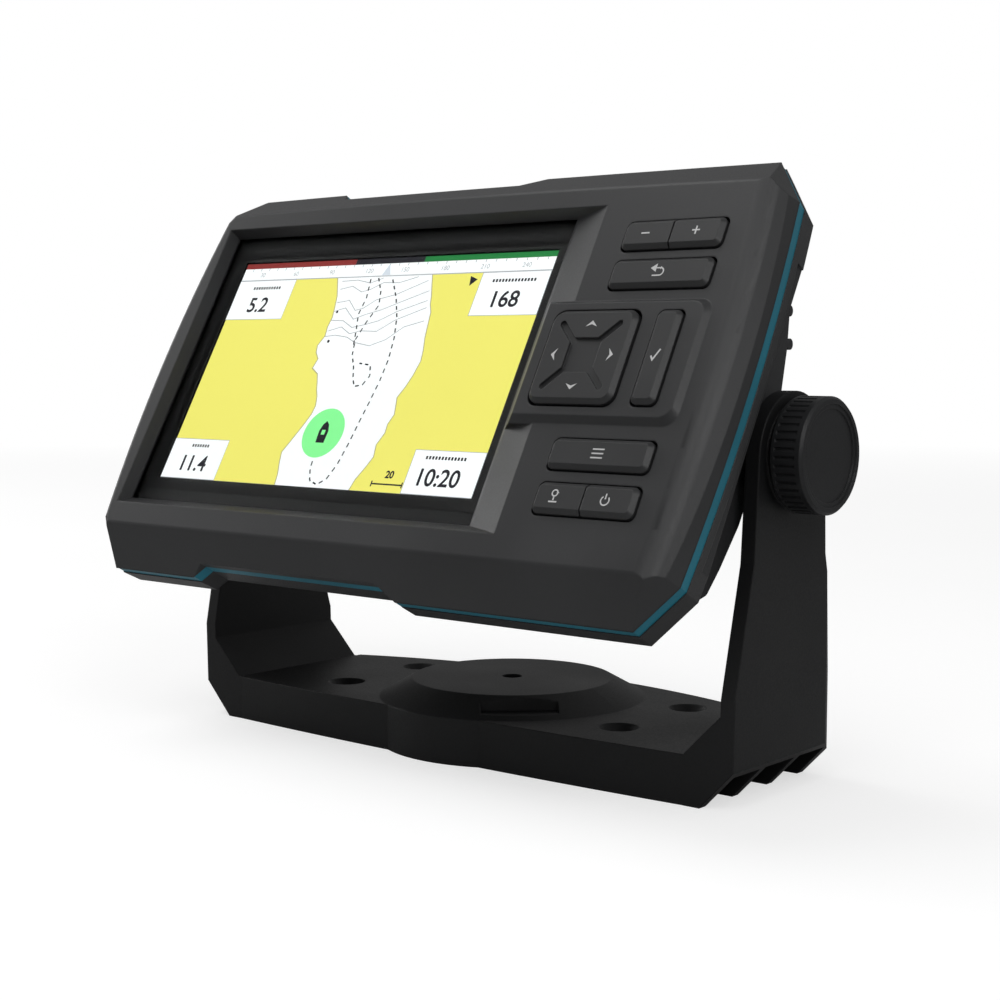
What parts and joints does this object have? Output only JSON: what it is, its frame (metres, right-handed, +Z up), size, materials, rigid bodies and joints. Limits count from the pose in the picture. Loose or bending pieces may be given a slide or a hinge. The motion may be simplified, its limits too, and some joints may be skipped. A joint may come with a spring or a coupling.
{
  "type": "chartplotter display",
  "caption": "Boat chartplotter with a wide colour screen and side keypad, tilting in a screw-down U-shaped bail bracket with hand-tightened clamp knobs.",
  "frame": {"origin": "middle of the bracket's foot, on the surface it stands on, midway between the arms", "axes": "+X to the right of someone facing the screen, along the tilt line; +Y to the back; +Z up"},
  "size_m": [0.1936, 0.0975, 0.1421],
  "materials": {
    "bracket_plastic": "fine moulded grain",
    "knob_plastic": "fine moulded grain",
    "shell_plastic": "fine moulded grain",
    "key_plastic": "fine moulded grain",
    "trim_teal": "satin",
    "lens_glass": "polished",
    "black_foam": "matt",
    "lcd_glass": "smooth",
    "white_plastic": "smooth",
    "steel": "plain",
    "seal_rubber": "matt",
    "circuit_board": "solder mask",
    "chip_black": "matt",
    "ceramic_tan": "ceramic",
    "aluminium_can": "satin",
    "flex_amber": "smooth",
    "socket_plastic": "fine moulded grain",
    "gold_pins": "polished",
    "washer_plastic": "smooth",
    "brass_insert": "turned"
  },
  "bodies": {
    "bracket": {"bail_bracket": "bracket_plastic"},
    "display": {"front_bezel": "shell_plastic", "rear_housing": "shell_plastic", "trim_ring": "trim_teal", "cover_lens": "lens_glass", "lens_adhesive": "black_foam", "lcd_gasket": "black_foam", "lcd_panel": "lcd_glass", "lcd_backlight": "white_plastic", "lcd_frame": "steel", "case_seal": "seal_rubber", "key_mat": "seal_rubber", "key_board": "circuit_board", "main_board": "circuit_board", "key_domes": "steel", "key_screws": "steel", "case_screws": "steel", "board_screws": "steel", "board_chips": "chip_black", "shield_can": "steel", "gps_antenna": "ceramic_tan", "capacitors": "aluminium_can", "beeper": "chip_black", "lcd_ribbon": "flex_amber", "key_ribbon": "flex_amber", "socket_ribbon": "flex_amber", "socket_shell": "socket_plastic", "socket_nut": "socket_plastic", "socket_pins": "gold_pins", "vent_plug": "socket_plastic", "friction_washer_right": "washer_plastic", "friction_washer_left": "washer_plastic", "pivot_insert_right": "brass_insert", "pivot_insert_left": "brass_insert"},
    "washer_right": {"thrust_washer_right": "washer_plastic"},
    "clamp_right": {"knob_right": "knob_plastic", "knob_stud_right": "steel"},
    "washer_left": {"thrust_washer_left": "washer_plastic"},
    "clamp_left": {"knob_left": "knob_plastic", "knob_stud_left": "steel"},
    "pad_rocker": {"pad_actuator": "white_plastic"},
    "pad_cap": {"key_pad": "key_plastic"},
    "button_zoom_out": {"key_zoom_out": "key_plastic"},
    "button_zoom_in": {"key_zoom_in": "key_plastic"},
    "button_back": {"key_back": "key_plastic"},
    "button_ok": {"key_ok": "key_plastic"},
    "button_menu": {"key_menu": "key_plastic"},
    "button_mark": {"key_mark": "key_plastic"},
    "button_power": {"key_power": "key_plastic"}
  },
  "joints": [
    {"name": "display_tilt", "type": "hinge", "parent": "bracket", "child": "display", "pos_m": [0, -0.0013, 0.0774], "axis": [1, 0, 0], "range_deg": [-60, 27]},
    {"name": "washer_right_lift", "type": "slide", "parent": "bracket", "child": "washer_right", "axis": [1, 0, 0], "range_m": [0, 0.00205]},
    {"name": "knob_right_turn", "type": "hinge", "parent": "washer_right", "child": "clamp_right", "pos_m": [0.0927, -0.0013, 0.0774], "axis": [1, 0, 0], "range_deg": [0, 720]},
    {"name": "washer_left_lift", "type": "slide", "parent": "bracket", "child": "washer_left", "axis": [-1, 0, 0], "range_m": [0, 0.00205]},
    {"name": "knob_left_turn", "type": "hinge", "parent": "washer_left", "child": "clamp_left", "pos_m": [-0.0927, -0.0013, 0.0774], "axis": [-1, 0, 0], "range_deg": [0, 720]},
    {"name": "key_zoom_out_press", "type": "slide", "parent": "display", "child": "button_zoom_out", "axis": [0, 0.8721, -0.4894], "range_m": [0, 0.0006], "stiffness_N_per_m": 3000},
    {"name": "key_zoom_in_press", "type": "slide", "parent": "display", "child": "button_zoom_in", "axis": [0, 0.8721, -0.4894], "range_m": [0, 0.0006], "stiffness_N_per_m": 3000},
    {"name": "key_back_press", "type": "slide", "parent": "display", "child": "button_back", "axis": [0, 0.8721, -0.4894], "range_m": [0, 0.0006], "stiffness_N_per_m": 3000},
    {"name": "key_ok_press", "type": "slide", "parent": "display", "child": "button_ok", "axis": [0, 0.8721, -0.4894], "range_m": [0, 0.0006], "stiffness_N_per_m": 3000},
    {"name": "key_menu_press", "type": "slide", "parent": "display", "child": "button_menu", "axis": [0, 0.8721, -0.4894], "range_m": [0, 0.0006], "stiffness_N_per_m": 3000},
    {"name": "key_mark_press", "type": "slide", "parent": "display", "child": "button_mark", "axis": [0, 0.8721, -0.4894], "range_m": [0, 0.0006], "stiffness_N_per_m": 3000},
    {"name": "key_power_press", "type": "slide", "parent": "display", "child": "button_power", "axis": [0, 0.8721, -0.4894], "range_m": [0, 0.0006], "stiffness_N_per_m": 3000},
    {"name": "key_pad_left_right", "type": "hinge", "parent": "display", "child": "pad_rocker", "pos_m": [0.0536, -0.02862, 0.09594], "axis": [0, 0.4894, 0.8721], "range_deg": [-1.8, 1.8], "stiffness_Nm_per_rad": 0.6},
    {"name": "key_pad_up_down", "type": "hinge", "parent": "pad_rocker", "child": "pad_cap", "pos_m": [0.0536, -0.02862, 0.09594], "axis": [1, 0, 0], "range_deg": [-1.8, 1.8], "stiffness_Nm_per_rad": 0.6}
  ],
  "couplings": [
    {"joint": "washer_right_lift", "follows": "knob_right_turn", "m_per_rad": 0.00015915},
    {"joint": "washer_left_lift", "follows": "knob_left_turn", "m_per_rad": 0.00015915}
  ]
}
